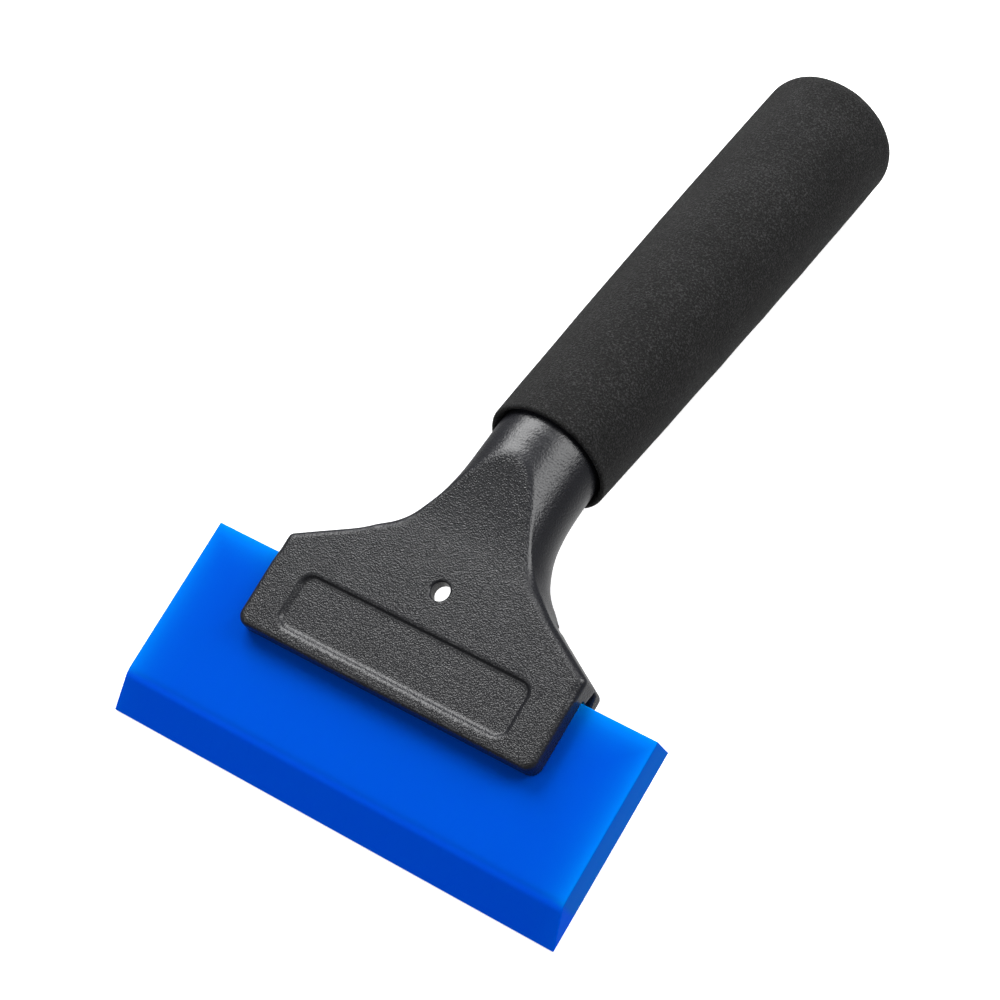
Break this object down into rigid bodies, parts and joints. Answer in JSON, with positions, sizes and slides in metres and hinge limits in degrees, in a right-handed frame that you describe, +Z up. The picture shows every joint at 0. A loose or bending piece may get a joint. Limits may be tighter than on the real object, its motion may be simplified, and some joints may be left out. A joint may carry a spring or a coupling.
{
  "type": "squeegee applicator",
  "caption": "Hand squeegee with a thick bevelled blade clamped in a wide moulded head, on a raked handle with a closed-end foam grip.",
  "frame": {"origin": "middle of the footprint on the surface that the tool lies on, resting on its blade edge and on the underside of its grip", "axes": "+X along the blade, to the right seen from the front; +Y along the tool from the blade to the butt of the grip; +Z up, out of the front side"},
  "size_m": [0.127, 0.2318, 0.0427],
  "materials": {
    "head_body": "grained glass-filled nylon, near black",
    "rear_jaw": "fine-grained glass-filled nylon, near black",
    "blade": "smooth cast polyurethane, saturated blue",
    "foam_grip": "skinned closed-cell foam, black, fine speckle",
    "clamp_screws": "stainless",
    "washers": "zinc plated",
    "threaded_inserts": "turned and knurled",
    "core_plug": "moulded, smooth"
  },
  "bodies": {
    "handle": {"head_body": "head_body", "foam_grip": "foam_grip", "core_plug": "core_plug", "threaded_inserts": "threaded_inserts"},
    "clamp": {"rear_jaw": "rear_jaw", "washers": "washers"},
    "blade": {"blade": "blade"},
    "screw_left": {"clamp_screw_left": "clamp_screws"},
    "screw_right": {"clamp_screw_right": "clamp_screws"}
  },
  "joints": [
    {"name": "clamp_slide", "type": "slide", "parent": "handle", "child": "clamp", "axis": [0, 0.2685, -0.9633], "range_m": [0, 0.0014]},
    {"name": "screw_left_turn", "type": "hinge", "parent": "clamp", "child": "screw_left", "pos_m": [-0.027, -0.06037, 0.01374], "axis": [0, 0.2685, -0.9633], "range_deg": [0, 720]},
    {"name": "screw_right_turn", "type": "hinge", "parent": "clamp", "child": "screw_right", "pos_m": [0.027, -0.06037, 0.01374], "axis": [0, 0.2685, -0.9633], "range_deg": [0, 720]},
    {"name": "blade_slide", "type": "slide", "parent": "handle", "child": "blade", "axis": [1, 0, 0], "range_m": [-0.106, 0.106]}
  ],
  "couplings": [
    {"joint": "screw_left_turn", "follows": "clamp_slide", "rad_per_m": 8976},
    {"joint": "screw_right_turn", "follows": "clamp_slide", "rad_per_m": 8976}
  ]
}
